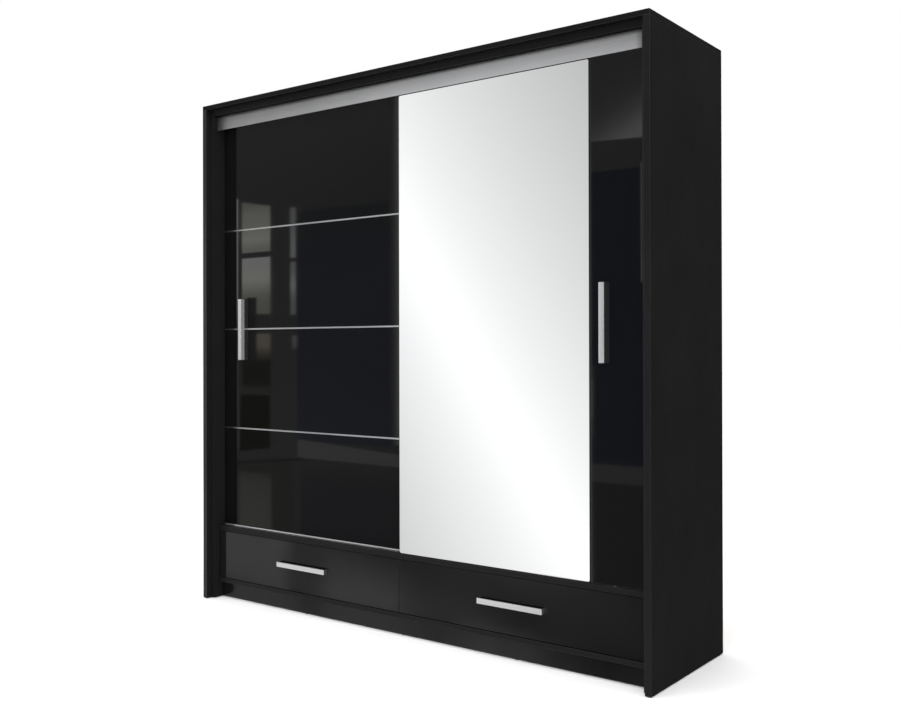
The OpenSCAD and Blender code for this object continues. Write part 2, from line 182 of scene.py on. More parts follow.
def board_finish(
    name, dark, light, rough, edge_axis=Y, shine=0.15, edge_shine=0.12, edge_smooth=0.07, pearl=1.0, tones=()
):
    """Black melamine board: pearl-textured faces, smoother banded edges, faint handling marks, and painted
    shade on the faces that its tones name.
    """
    f = Finish(name, light, rough, Specular_IOR_Level=shine)
    cloud = f.noise(2.6, 4.0)
    fine = f.noise(240, 2.0)
    grain = f.span(f.math("ADD", cloud, f.math("MULTIPLY", fine, 0.35)), 0.45, 0.9, 0, 1)
    f.colour(f.painted_face_shade(f.blend(grain, dark, light), tones))
    edge = f.math("GREATER_THAN", f.math("ABSOLUTE", f.axis("Normal", edge_axis)), 0.8)
    wiped = f.span(f.noise(5.5, 5.0, (1, 1, 0.35)), 0.3, 0.7, rough - 0.05, rough + 0.07)
    f.roughness(f.math("SUBTRACT", wiped, f.math("MULTIPLY", edge, edge_smooth)))
    f.link(f.span(edge, 0, 1, shine, edge_shine), f.bsdf.inputs["Specular IOR Level"])
    f.bump(f.noise(900, 2.0), 0.22 * pearl, 0.00012)
    f.bump(f.cells(420), 0.12 * pearl, 0.0001)
    return f.mat


def worn_edge(name, base, worn, rough, metallic=0.0):
    """A rounded edge, rubbed a little lighter in places."""
    f = Finish(name, base, rough, metallic)
    rub = f.math("MULTIPLY", f.noise(7, 4.0), f.noise(160, 3.0))
    f.colour(f.blend(f.span(rub, 0.18, 0.4, 0, 1), base, worn))
    f.roughness(f.span(f.noise(90, 3.0), 0.3, 0.7, rough - 0.06, rough + 0.08))
    f.bump(f.noise(600, 2.0), 0.15, 0.0001)
    return f.mat


def drawer_finish():
    """Smooth satin foil: light orange peel and slightly uneven gloss."""
    dark, light = (0.0054, 0.0054, 0.0058), (0.0066, 0.0066, 0.0070)
    f = Finish("drawer_front_satin", (0.006, 0.006, 0.0064), 0.22, Specular_IOR_Level=0.3)
    f.colour(f.blend(f.span(f.noise(3.5, 4.0), 0.3, 0.7, 0, 1), dark, light))
    f.roughness(f.span(f.noise(6, 5.0, (1, 1, 1.6)), 0.3, 0.7, 0.06, 0.11))
    f.bump(f.noise(60, 1.0), 0.03, 0.0001)
    f.bump(f.noise(700, 2.0), 0.05, 0.00005)
    return f.mat


def glass_finish():
    """Back-painted glass: deep black under a polished face with faint wipe marks."""
    f = Finish("back_painted_glass", (0.0029, 0.0029, 0.003), 0.03, ior=1.52)
    f.colour(f.blend(f.noise(1.7, 2.0), (0.0024, 0.0024, 0.0025), (0.0036, 0.0036, 0.0037)))
    smear = f.noise(3.0, 6.0, (1, 1, 0.4), distortion=0.6)
    f.roughness(f.span(smear, 0.35, 0.75, 0.02, 0.055))
    f.bump(f.noise(2.2, 1.0), 0.05, 0.0005)
    return f.mat


def mirror_finish():
    """Silvered glass with a trace of wipe marks, and painted shade: its faces that look along +X are
    darkened.
    """
    f = Finish("silvered_glass", (0.92, 0.925, 0.93), 0.02, 1.0)
    silver = f.blend(f.noise(1.3, 2.0), (0.905, 0.912, 0.918), (0.935, 0.938, 0.94))
    f.colour(f.painted_face_shade(silver, ((X, 1, 0.1),)))
    smear = f.noise(2.4, 6.0, (1, 1, 0.5), distortion=0.8)
    f.roughness(f.span(smear, 0.4, 0.8, 0.012, 0.05))
    return f.mat


def brushed_finish(
    name, dark, light, rough, along, metallic=1.0, coarse=420, shades=(), tones=(), lit_side_metallic=None
):
    """Brushed or extruded metal, streaked along one axis. Each shade is painted shade that darkens it over an
    axis:
    (axis, low, high, stops). Tones are painted shade on faces that look one way, and where a metallic is
    given for the +X side, those faces are made less metallic so that they read lighter, as painted light."""
    stretch = tuple(0.012 if i == along else 1.0 for i in range(3))
    f = Finish(name, light, rough, metallic)
    streak = f.noise(coarse, 4.0, stretch)
    broad = f.noise(5, 3.0)
    worn = f.math("ADD", streak, f.math("MULTIPLY", broad, 0.6))
    tone = f.blend(f.span(worn, 0.55, 1.05, 0, 1), dark, light)
    for index, low_end, high_end, stops in shades:
        place = f.span(f.axis("Object", index), low_end, high_end, 0, 1)
        tone = f.blend(f.ramp(place, [(at, (level,) * 3) for at, level in stops]), (0.0, 0.0, 0.0), tone)
    f.colour(f.painted_face_shade(tone, tones))
    if lit_side_metallic is not None:
        f.link(f.span(f.faces(X, 1), 0, 1, metallic, lit_side_metallic), f.bsdf.inputs["Metallic"])
    f.roughness(f.span(streak, 0.3, 0.7, rough - 0.07, rough + 0.08))
    f.bump(f.noise(coarse * 2, 3.0, stretch), 0.22, 0.00015)
    return f.mat


def zinc_finish():
    """Zinc-plated steel: bluish spangle with dull patches."""
    f = Finish("zinc_plated_steel", (0.5, 0.51, 0.53), 0.34, 1.0)
    spangle = f.math("ADD", f.math("MULTIPLY", f.cells(260), 0.7), f.noise(70, 4.0))
    tones = [(0.0, (0.38, 0.39, 0.42)), (0.5, (0.5, 0.51, 0.53)), (1.0, (0.6, 0.6, 0.58))]
    f.colour(f.ramp(f.span(spangle, 0.4, 1.3, 0, 1), tones))
    f.roughness(f.span(f.noise(45, 5.0), 0.3, 0.7, 0.26, 0.44))
    f.bump(f.noise(900, 2.0), 0.1, 0.0001)
    return f.mat


def chrome_finish():
    """Chrome plate, with faint ripples and finger marks."""
    f = Finish("chrome_plate", (0.78, 0.79, 0.8), 0.08, 1.0)
    f.colour(f.blend(f.noise(30, 3.0), (0.72, 0.73, 0.745), (0.8, 0.805, 0.81)))
    f.roughness(f.span(f.noise(55, 5.0), 0.35, 0.7, 0.05, 0.16))
    f.bump(f.noise(140, 2.0), 0.05, 0.0001)
    return f.mat


def plastic_finish(name, dark, light, rough, grain=1300):
    """Moulded plastic: spark-eroded grain and uneven gloss."""
    f = Finish(name, light, rough)
    f.colour(f.blend(f.noise(35, 4.0), dark, light))
    f.roughness(f.span(f.noise(110, 4.0), 0.3, 0.7, rough - 0.08, rough + 0.08))
    f.bump(f.cells(grain), 0.3, 0.00008)
    return f.mat


def hardboard_finish():
    """Hardboard: brown fibres outside with the screen's imprint, painted black on the inner face."""
    f = Finish("hardboard_back", (0.2, 0.13, 0.085), 0.75)
    fibre = f.noise(260, 6.0, (1, 1, 0.3), distortion=1.4)
    cloud = f.noise(3.2, 5.0)
    mix = f.math("ADD", f.math("MULTIPLY", fibre, 0.7), f.math("MULTIPLY", cloud, 0.5))
    browns = [(0.0, (0.095, 0.052, 0.028)), (0.45, (0.185, 0.112, 0.066)), (1.0, (0.29, 0.19, 0.12))]
    brown = f.ramp(f.span(mix, 0.35, 0.85, 0, 1), browns)
    inner = f.math("LESS_THAN", f.axis("Normal", Y), -0.5)
    f.colour(f.blend(inner, brown, (0.016, 0.016, 0.017)))
    f.roughness(f.span(f.noise(40, 4.0), 0.3, 0.7, 0.62, 0.85))
    f.bump(f.cells(520), 0.35, 0.0002)
    f.bump(fibre, 0.3, 0.0003)
    return f.mat


def dark_hardboard_finish():
    """Black-lacquered hardboard for the drawer bottoms."""
    f = Finish("hardboard_drawer_bottom", (0.04, 0.04, 0.042), 0.6)
    f.colour(f.blend(f.noise(220, 5.0, (1, 0.4, 1)), (0.026, 0.026, 0.028), (0.05, 0.05, 0.052)))
    f.roughness(f.span(f.noise(30, 4.0), 0.3, 0.7, 0.5, 0.7))
    f.bump(f.noise(500, 4.0), 0.25, 0.0002)
    return f.mat


BLACK_DARK = (0.0082, 0.0082, 0.0086)
BLACK_LIGHT = (0.0106, 0.0106, 0.0111)
ALUMINIUM = ((0.6, 0.605, 0.62), (0.72, 0.725, 0.735))
SATIN = ((0.86, 0.865, 0.87), (0.95, 0.95, 0.955))
LOOKS = {
    "black_laminate": board_finish("melamine_board", BLACK_DARK, BLACK_LIGHT, 0.42),
    "drawer_front_black": drawer_finish(),
    "black_glass": glass_finish(),
    "silvered_mirror": mirror_finish(),
    "brushed_aluminium": brushed_finish("brushed_aluminium_x", *ALUMINIUM, 0.34, X),
    "satin_handle_metal": brushed_finish("satin_metal_z", *SATIN, 0.34, Z),
    "track_aluminium": brushed_finish(
        "mill_aluminium", (0.5, 0.51, 0.53), (0.64, 0.65, 0.66), 0.3, X, coarse=260
    ),
    "track_black": brushed_finish(
        "black_anodised", (0.012, 0.012, 0.013), (0.022, 0.022, 0.023), 0.34, X, metallic=0.6, coarse=260
    ),
    "zinc_steel": zinc_finish(),
    "chrome_fittings": chrome_finish(),
    "black_plastic": plastic_finish("black_moulding", (0.018, 0.018, 0.019), (0.032, 0.032, 0.034), 0.5),
    "white_nylon": plastic_finish("nylon_moulding", (0.68, 0.665, 0.62), (0.8, 0.79, 0.75), 0.4, 900),
    "back_hardboard": hardboard_finish(),
    "drawer_bottom_hardboard": dark_hardboard_finish(),
}
DOOR_BOARD = board_finish("melamine_door_board", BLACK_DARK, BLACK_LIGHT, 0.42, edge_axis=X)
# Painted light and shade: the left side is lighter than the other boards, and its front edge and outer face
# are darkened, so that its inner face is lighter than the rest.
SIDE_LEFT = board_finish(
    "melamine_side_left", (0.0108, 0.0108, 0.0112), (0.0138, 0.0138, 0.0142), 0.42,
    shine=0.15, edge_shine=0.32, edge_smooth=0.2, tones=((Y, -1, 0.75), (X, -1, 0.8)),
)
# Painted shade: the right side's front edge is darkened, and darker still from 1.2 m to 1.5 m up and above.
SIDE_RIGHT = board_finish(
    "melamine_side_right", BLACK_DARK, BLACK_LIGHT, 0.42,
    shine=0.14, edge_shine=0.12, edge_smooth=0.1, tones=((Y, -1, 0.92), (Y, -1, 0.74, 1.20, 1.50)),
)
# Painted shade: the top board's front edge is darkened.
TOP_BOARD = board_finish(
    "melamine_top_board", BLACK_DARK, BLACK_LIGHT, 0.44,
    shine=0.15, edge_shine=0.02, edge_smooth=0.0, tones=((Y, -1, 0.68),),
)
# Painted shade: the base boards' front edges and, more, their undersides are darkened.
BASE_BOARD = board_finish(
    "melamine_base_board", BLACK_DARK, BLACK_LIGHT, 0.42, tones=((Y, -1, 0.8), (Z, -1, 0.5)),
)
# Painted shade: the carcass top's front edge and, more, its underside are darkened.
SHADED_BOARD = board_finish(
    "melamine_carcass_top", BLACK_DARK, BLACK_LIGHT, 0.6,
    shine=0.03, edge_shine=0.06, tones=((Y, -1, 0.85), (Z, -1, 0.35)),
)
# Painted light and shade: the left inner side is lighter than the other boards, and its front edge is
# darkened back.
INNER_LEFT = board_finish(
    "melamine_inner_left", (0.0118, 0.0118, 0.0122), (0.0146, 0.0146, 0.015), 0.44,
    shine=0.14, edge_shine=0.0, tones=((Y, -1, 0.72),),
)
PLINTH = board_finish(
    "plinth_gloss", (0.0056, 0.0056, 0.006), (0.0068, 0.0068, 0.0072), 0.13,
    shine=0.3, edge_shine=0.3, edge_smooth=0.0, pearl=0.15,
)
# Painted light and shade: the door handles' +X sides are darkened, and the rear handle's +X side is also made
# only partly metallic, so that it catches more light and reads lighter.
HANDLE_REAR = brushed_finish("satin_metal_rear", *SATIN, 0.34, Z, lit_side_metallic=0.3, tones=((X, 1, 0.42),))
HANDLE_FRONT = brushed_finish("satin_metal_front", *SATIN, 0.34, Z, tones=((X, 1, 0.4),))
HANDLE_X = brushed_finish("satin_metal_x", *SATIN, 0.34, X)
# Painted shade on the pelmet: it is darkened towards its top, under the carcass top, and towards both ends,
# most at the right, beside the side panels. Its metal is lighter than the other aluminium.
PELMET_LOW, PELMET_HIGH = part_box("pelmet")
PELMET_UPWARD = ((0.0, 1.0), (0.1, 0.93), (0.35, 0.83), (0.6, 0.72), (0.8, 0.66), (0.92, 0.60), (1.0, 0.50))
PELMET_ALONG = (
    (0.0, 0.56), (0.035, 0.66), (0.12, 0.80), (0.3, 0.86), (0.62, 0.85), (0.82, 0.94), (0.984, 0.93),
    (0.998, 0.3),
)
PELMET = brushed_finish(
    "brushed_aluminium_pelmet", (0.72, 0.725, 0.74), (0.86, 0.865, 0.875), 0.34, X,
    shades=((Z, PELMET_LOW.z, PELMET_HIGH.z, PELMET_UPWARD), (X, PELMET_LOW.x, PELMET_HIGH.x, PELMET_ALONG)),
)
# Painted shade: the rear door's strips and trim are darkened at their left end, where they would reflect the
# dark side panel beside them.
STRIP_LOW, STRIP_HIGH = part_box("rear_door_strips")
STRIP_SHADE = ((X, STRIP_LOW.x, STRIP_HIGH.x, ((0.0, 0.28), (0.05, 0.34), (0.068, 1.0))),)
DOOR_STRIPS = brushed_finish("brushed_aluminium_strips", *ALUMINIUM, 0.34, X, shades=STRIP_SHADE)
DOOR_TRIM = brushed_finish(
    "aluminium_trim_x", (0.40, 0.402, 0.41), (0.52, 0.522, 0.53), 0.4, X, metallic=0.15, shades=STRIP_SHADE,
)
EDGES = {
    "black_laminate": worn_edge("board_edge", (0.009, 0.009, 0.0095), (0.022, 0.022, 0.023), 0.36),
    "drawer_front_black": worn_edge("drawer_edge", (0.009, 0.009, 0.0095), (0.024, 0.024, 0.025), 0.30),
    "black_glass": worn_edge("glass_edge", (0.010, 0.016, 0.016), (0.03, 0.042, 0.04), 0.1),
    "silvered_mirror": worn_edge("mirror_edge", (0.05, 0.06, 0.058), (0.12, 0.135, 0.13), 0.2),
    "brushed_aluminium": worn_edge("aluminium_edge", (0.66, 0.665, 0.675), (0.8, 0.8, 0.81), 0.26, 1.0),
    "satin_handle_metal": worn_edge("handle_edge", (0.78, 0.785, 0.79), (0.88, 0.88, 0.885), 0.24, 1.0),
    "track_aluminium": worn_edge("track_edge", (0.6, 0.61, 0.62), (0.74, 0.745, 0.75), 0.25, 1.0),
    "track_black": worn_edge("black_track_edge", (0.02, 0.02, 0.021), (0.06, 0.06, 0.062), 0.3, 0.6),
}
# Rounding of each CAD node's edges, in metres, by the slot that it is made of.
ROUND = {
    "black_laminate": 0.0007, "drawer_front_black": 0.0010, "black_glass": 0.0006, "silvered_mirror": 0.0012,
    "brushed_aluminium": 0.00025, "satin_handle_metal": 0.0009, "track_aluminium": 0.0003,
    "track_black": 0.0003,
}
# The nodes whose finish differs from that of their slot.
SPECIAL = {
    "outer_side_left": SIDE_LEFT, "outer_side_right": SIDE_RIGHT, "top_board": TOP_BOARD,
    "inner_side_left": INNER_LEFT, "carcass_top": SHADED_BOARD, "plinth_front": PLINTH,
    "wardrobe_floor": BASE_BOARD, "base_board": BASE_BOARD, "pelmet": PELMET,
    "front_door_board": DOOR_BOARD, "rear_door_board": DOOR_BOARD,
    "rear_door_strips": DOOR_STRIPS, "rear_door_trim": DOOR_TRIM,
    "front_door_handle": HANDLE_FRONT, "rear_door_handle": HANDLE_REAR,
    "left_drawer_handle": HANDLE_X, "right_drawer_handle": HANDLE_X,
}
JOIN_WITHIN = 0.00002
SHARP_ANGLE = math.radians(40)


def dress(name, obj):
    """Gives a CAD node its finish, and a small rounding with a worn-edge finish on it."""
    kind = obj.data.materials[0].name.split(".")[0]
    obj.material_slots[0].material = SPECIAL.get(name, LOOKS[kind])
    if kind not in ROUND:
        return
    obj.data.materials.append(EDGES[kind])
    weld = obj.modifiers.new("join_corners", "WELD")
    weld.merge_threshold = JOIN_WITHIN
    bevel = obj.modifiers.new("rounding", "BEVEL")
    bevel.width = ROUND[kind]
    bevel.segments = 2
    bevel.limit_method = "ANGLE"
    bevel.angle_limit = SHARP_ANGLE
    bevel.material = 1
    normals = obj.modifiers.new("flat_faces", "WEIGHTED_NORMAL")
    normals.weight = 100


for node_name, node in NODES.items():
    dress(node_name, node)
# The pelmet's dark back face is left out of the reflection in the glass behind it.
NODES["pelmet"].visible_glossy = False


# ---------------------------------------------------------------- small hardware

def turned(mesh, centre, out, profile, sides=16):
    """Adds a turned piece to a mesh. Its profile is (radius, height along out) in millimetres, from the rim
    to the middle."""
    side = Vector((0, 0, 1)) if abs(out.z) < 0.5 else Vector((1, 0, 0))
    other = out.cross(side)
    angles = [2 * math.pi * i / sides for i in range(sides)]
    spokes = [side * math.cos(angle) + other * math.sin(angle) for angle in angles]
    rings = []
    for radius, height in profile:
        middle = centre + out * height * MM
        if radius == 0:
            rings.append([mesh.verts.new(middle)])
        else:
            rings.append([mesh.verts.new(middle + spoke * radius * MM) for spoke in spokes])
    mesh.faces.new(list(reversed(rings[0])))
    for lower, upper in zip(rings, rings[1:]):
        for i in range(sides):
            j = (i + 1) % sides
            top = (upper[0],) if len(upper) == 1 else (upper[j], upper[i])
            mesh.faces.new((lower[i], lower[j], *top))


def hardware(name, body, slot, profile, places, smooth=False):
    """One piece of the same turned fitting at every place: ((x, y, z) in millimetres, outward direction)."""
    mesh = bmesh.new()
    for centre, out in places:
        turned(mesh, Vector(centre) * MM, Vector(out), profile)
    data = bpy.data.meshes.new(name)
    mesh.to_mesh(data)
    mesh.free()
    for face in data.polygons:
        face.use_smooth = smooth
    data.materials.append(LOOKS[slot])
    obj = bpy.data.objects.new(name, data)
    bpy.context.scene.collection.objects.link(obj)
    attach(obj, body)


def face_of(node, axis, side):
    """A face of a node's box in millimetres: side 0 is the low one and 1 the high one."""
    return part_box(node)[side][axis] / MM


def middle_of(node, axis):
    return (face_of(node, axis, 0) + face_of(node, axis, 1)) / 2


NAIL = [(2.2, -0.1), (2.2, 0.15), (1.7, 0.42), (0.9, 0.56), (0, 0.6)]
CAP = [(8, -0.1), (8, 0.35), (7.4, 0.6), (6.2, 0.6), (5.8, 0.42), (0, 0.42)]
SOCKET = [(3.6, -0.1), (3.6, 0.12), (3.2, 0.2), (2.6, 0.2), (2.5, 0.03), (0, 0.03)]
COUNTERSUNK = [(3.4, -0.1), (3.4, 0.2), (3.1, 0.35), (1.6, 0.35), (1.4, 0.12), (0, 0.12)]
PAN_HEAD = [(4.2, -0.1), (4.2, 1.2), (3.6, 2.0), (2.6, 2.4), (1.7, 2.4), (1.4, 1.0), (0, 1.0)]
FLAT_CAP = [(6, -0.1), (6, 0.3), (5.5, 0.5), (0, 0.5)]
SIDES = (-1, 1)

# Nails around and across the back sheets, in the middle of each board's edge.
NAIL_STEP = 120
sheet = face_of("back_sheet_left", Y, 1)
edge_x = middle_of("inner_side_right", X)
rows = [middle_of(node, Z) for node in ("carcass_top", "wardrobe_floor", "base_board")]
nails = [((side * edge_x, sheet, z), (0, 1, 0)) for side in SIDES for z in range(150, 2060, NAIL_STEP)]
nails += [
    ((side * x, sheet, z), (0, 1, 0)) for side in SIDES for x in range(60, 980, NAIL_STEP) for z in rows
]
hardware("back_sheet_nails", "carcass", "zinc_steel", NAIL, nails, smooth=True)

# Caps over the cam fittings that hold the top, and the foot of the centre partition.
CAP_DEPTHS = (-100, 200)
CAP_INSET, CAP_LEVEL = 17, 352
ceiling = face_of("carcass_top", Z, 0)
wall = face_of("inner_side_right", X, 0)
post = face_of("centre_partition", X, 1)
caps = [((side * (wall - CAP_INSET), y, ceiling), (0, 0, -1)) for side in SIDES for y in CAP_DEPTHS]
caps += [((side * post, y, CAP_LEVEL), (side, 0, 0)) for side in SIDES for y in CAP_DEPTHS]
hardware("cam_caps", "carcass", "black_plastic", CAP, caps)

# Rows of sockets for the shelf pins, left out where a shelf and its pins are.
SHELVES = (640, 1020, 1400, 1780)
PIN_DEPTHS = (-130, 246)
PIN_LEVELS = range(448, 2000, 32)
CLEAR_BELOW, CLEAR_ABOVE = 30, 40


def pin_levels(shelves):
    return [z for z in PIN_LEVELS if all(not at - CLEAR_BELOW < z < at + CLEAR_ABOVE for at in shelves)]


for name, side, shelves in (("pin_sockets_left", -1, SHELVES), ("pin_sockets_right", 1, SHELVES[-1:])):
    holes = [
        ((side * x, y, z), (out * side, 0, 0))
        for x, out in ((wall, -1), (post, 1)) for y in PIN_DEPTHS for z in pin_levels(shelves)
    ]
    hardware(name, "carcass", "black_plastic", SOCKET, holes)

TRACK_SCREW_DEPTH, TRACK_BASE = -219, 1.5
track = face_of("bottom_track", Z, 0) + TRACK_BASE
screws = [((x, TRACK_SCREW_DEPTH, track), (0, 0, 1)) for x in range(-900, 901, 300)]
hardware("track_screws", "carcass", "zinc_steel", COUNTERSUNK, screws)

HALF_GRIP = 128
for body in ("left_drawer", "right_drawer"):
    grip, level = middle_of(body + "_handle", X), middle_of(body + "_handle", Z)
    inside = face_of(body + "_front", Y, 1)
    screws = [((grip + step, inside, level), (0, 1, 0)) for step in (-HALF_GRIP, HALF_GRIP)]
    hardware(body + "_handle_screws", body, "zinc_steel", PAN_HEAD, screws)
for body in ("front_door", "rear_door"):
    grip, level = middle_of(body + "_handle", X), middle_of(body + "_handle", Z)
    behind = face_of(body + "_board", Y, 1)
    plugs = [((grip, behind, level + step), (0, 1, 0)) for step in (-HALF_GRIP, HALF_GRIP)]
    hardware(body + "_handle_caps", body, "black_plastic", FLAT_CAP, plugs)


# ---------------------------------------------------------------- stage: floor, lights, reflections

def staged_plane(name, corners, material):
    mesh = bpy.data.meshes.new(name)
    mesh.from_pydata(corners, [], [tuple(range(len(corners)))])
    obj = bpy.data.objects.new(name, mesh)
    bpy.context.scene.collection.objects.link(obj)
    mesh.materials.append(material)
    return obj


def floor_finish():
    """Matt pale paint."""
    f = Finish("studio_floor", (0.93, 0.93, 0.93), 0.7)
    f.colour(f.blend(f.noise(1.2, 3.0), (0.92, 0.92, 0.92), (0.94, 0.94, 0.94)))
    f.roughness(f.span(f.noise(8, 3.0), 0.3, 0.7, 0.62, 0.8))
    f.bump(f.noise(300, 2.0), 0.05, 0.0002)
    return f.mat


FLOOR = 40.0
floor_corners = [(-FLOOR, -FLOOR, 0), (FLOOR, -FLOOR, 0), (FLOOR, FLOOR, 0), (-FLOOR, FLOOR, 0)]
floor = staged_plane("studio_floor", floor_corners, floor_finish())
floor.visible_glossy = False


class Glow(Nodes):
    """Emission material for a reflection card, with its light graded over the card."""

    def __init__(self, name, strength=1.0):
        self.mat = bpy.data.materials.new(name)
        self.mat.use_nodes = True
        super().__init__(self.mat.node_tree)
        self.tree.nodes.clear()
        out = self.add("ShaderNodeOutputMaterial")
        self.light = self.add("ShaderNodeEmission")
        self.light.inputs["Strength"].default_value = strength
        self.link(self.light.outputs[0], out.inputs["Surface"])

    def graded(self, across, up, offset, stops, fold=False):
        """Colour by across * x + up * z + offset, or its size where it is folded, through a ramp."""
        total = self.math("MULTIPLY_ADD", self.axis("Object", X), across, offset)
        total = self.math("MULTIPLY_ADD", self.axis("Object", Z), up, total)
        if fold:
            total = self.math("ABSOLUTE", total)
        self.link(self.ramp(total, stops), self.light.inputs["Color"])
        return self.mat

    def mixed(self, across, shift, up, rise, low_stops, high_stops):
        """Two ramps over across * x + shift, blended from the low one to the high one by up * z + rise."""
        place = self.math("MULTIPLY_ADD", self.axis("Object", X), across, shift, clamp=True)
        height = self.math("MULTIPLY_ADD", self.axis("Object", Z), up, rise, clamp=True)
        colour = self.blend(height, self.ramp(place, low_stops), self.ramp(place, high_stops))
        self.link(colour, self.light.inputs["Color"])
        return self.mat


CARD_Y = -3.2
LAYER = 0.002


def g(value, tint=(1, 1, 1)):
    """Radiance of one strength, with a tint."""
    return tuple(value * t for t in tint)


def reflected_only(obj):
    obj.visible_camera = False
    obj.visible_diffuse = False
    obj.visible_shadow = False
    obj.visible_transmission = False
    obj.visible_volume_scatter = False


def shaped_card(name, corners, layer, material):
    """A glowing card in front of the wardrobe that only reflections see, from its (x, z) corners."""
    y = CARD_Y + LAYER * layer
    reflected_only(staged_plane(name, [(x, y, z) for x, z in corners], material))


def place_card(name, x0, x1, z0, z1, layer, material):
    shaped_card(name, [(x0, z0), (x1, z0), (x1, z1), (x0, z1)], layer, material)


def banded(name, x0, x1, z0, z1, layer, stops):
    """A card graded from bottom to top through several stops."""
    place_card(name, x0, x1, z0, z1, layer, Glow(name).graded(0, 1 / (z1 - z0), -z0 / (z1 - z0), stops))


def card(name, x0, x1, z0, z1, layer, low, high):
    """A card graded from low (bottom) to high (top)."""
    banded(name, x0, x1, z0, z1, layer, [(0.0, low), (1.0, high)])


def quad(name, corners, layer, value, tint=(1, 1, 1)):
    """A card with slanting sides, almost evenly lit."""
    glow = Glow(name).graded(0, 1.0, 0.5, [(0.0, g(value, tint)), (1.0, g(value * 1.02, tint))])
    shaped_card(name, corners, layer, glow)


COOL = (0.82, 0.95, 1.32)
WARM = (1.04, 1.03, 0.93)
OLIVE = (1.0, 1.0, 0.78)
PEACH = (1.1, 1.0, 0.83)
NEUTRAL = (1.0, 1.0, 0.99)
MAUVE = (1.0, 0.96, 1.08)
TEAL = (0.78, 0.98, 1.06)
GREENISH = (1.0, 1.04, 0.9)
# Places on the cards' plane that several cards share, over x and z in metres.
ROOM_LEFT, MIRROR_LEFT, STRIP_LEFT, STRIP_RIGHT = -4.9, -2.30, -0.7265, -0.30
FLOOR_FOOT, WALL_FOOT, WALL_TOP, CARD_TOP = -0.50, 0.345, 2.20, 3.30
DAYLIGHT_RIGHT = -4.22
WINDOW_LEFT, WINDOW_RIGHT, WINDOW_FOOT = -4.15, -3.68, 0.10
PANE_LEFT, PANE_RIGHT = -4.045, -3.706
FAR_LEFT, FAR_RIGHT = -3.475, -3.415
PIER_LEFT, PIER_RIGHT = -3.687, -3.40
JOINT_LEFT, JOINT_RIGHT = -3.437, -3.366
# Where the painted shadow of the rear door's handle lies on the cards' plane.
HANDLE_SHADOW_LEFT, HANDLE_SHADOW_RIGHT, HANDLE_SHADOW_FOOT, HANDLE_SHADOW_TOP = -3.984, -3.868, 0.985, 1.520

# What the black glass of the rear door reflects, as radiance: ceiling, wall, floor and skirting.
banded("room_ceiling", ROOM_LEFT, MIRROR_LEFT, WALL_TOP, CARD_TOP, 0, [
    (0.0, g(0.155, NEUTRAL)), (0.4, g(0.185, NEUTRAL)), (0.7, g(0.225, NEUTRAL)),
])
banded("room_wall", ROOM_LEFT, MIRROR_LEFT, WALL_FOOT, WALL_TOP, 0, [
    (0.0, g(0.15, COOL)), (0.3, g(0.11, COOL)), (0.8, g(0.10, COOL)), (1.0, g(0.09, TEAL)),
])
banded("room_floor", ROOM_LEFT, MIRROR_LEFT, FLOOR_FOOT, WALL_FOOT, 0, [
    (0.0, g(0.12, MAUVE)), (0.60, g(0.14, MAUVE)), (0.72, g(0.17)), (0.9, g(0.19)),
])
quad("room_skirting", [
    (PIER_RIGHT, 0.205), (MIRROR_LEFT, 0.197), (MIRROR_LEFT, 0.288), (PIER_RIGHT, 0.352),
], 1, 0.45, NEUTRAL)
# The window at the left, its sill, and the wall below and beside it.
card("room_pier", PIER_LEFT, PIER_RIGHT, 0.205, WALL_TOP, 1, g(0.215, NEUTRAL), g(0.165, NEUTRAL))
card("window_frame", WINDOW_LEFT, WINDOW_RIGHT, WINDOW_FOOT, WALL_TOP, 1, g(0.20, NEUTRAL), g(0.19, NEUTRAL))
quad("sill_shadow", [
    (WINDOW_LEFT, 0.095), (-3.343, 0.183), (-3.343, 0.205), (WINDOW_LEFT, 0.125),
], 2, 0.09, GREENISH)
quad("below_sill", [
    (WINDOW_LEFT, FLOOR_FOOT), (JOINT_LEFT, FLOOR_FOOT), (JOINT_LEFT, 0.172), (WINDOW_LEFT, 0.095),
], 1, 0.155, GREENISH)
quad("pale_joint", [
    (JOINT_LEFT, FLOOR_FOOT), (JOINT_RIGHT, FLOOR_FOOT), (JOINT_RIGHT, 0.18), (JOINT_LEFT, 0.172),
], 1, 0.19, NEUTRAL)
banded("window_edge", WINDOW_LEFT, -4.098, 0.70, 2.37, 2, [
    (0.0, g(0.40)), (0.33, g(0.42)), (0.40, g(1.7, WARM)), (1.0, g(1.9, WARM)),
])
card("window_edge_low", -4.11, -4.088, 0.235, 0.70, 2, g(0.40), g(0.5))
banded("pane_1", PANE_LEFT, PANE_RIGHT, 1.900, 2.34, 3, [
    (0.07, g(1.35, WARM)), (0.25, g(1.95, WARM)), (0.53, g(1.45, WARM)), (0.72, g(1.35, WARM)),
    (0.91, g(0.95, WARM)),
])
quad("pane_1_head", [
    (PANE_LEFT, 2.335), (PANE_RIGHT, 2.275), (PANE_RIGHT, 2.36), (PANE_LEFT, 2.40),
], 4, 0.165, NEUTRAL)
banded("pane_2", PANE_LEFT, PANE_RIGHT, 1.379, 1.854, 3, [
    (0.16, g(0.95, WARM)), (0.34, g(1.10, WARM)), (0.61, g(2.1, WARM)), (0.87, g(2.0)),
])
banded("pane_3", PANE_LEFT, PANE_RIGHT, 0.727, 1.214, 3, [
    (0.03, g(0.20, OLIVE)), (0.15, g(0.06, OLIVE)), (0.52, g(0.07, OLIVE)), (0.68, g(0.42, PEACH)),
    (0.80, g(0.84, PEACH)),
])
quad("pane_4", [
    (-4.075, 0.215), (-3.712, 0.262), (-3.712, 0.700), (-4.075, 0.700),
], 3, 0.035, (1.0, 1.0, 0.4))
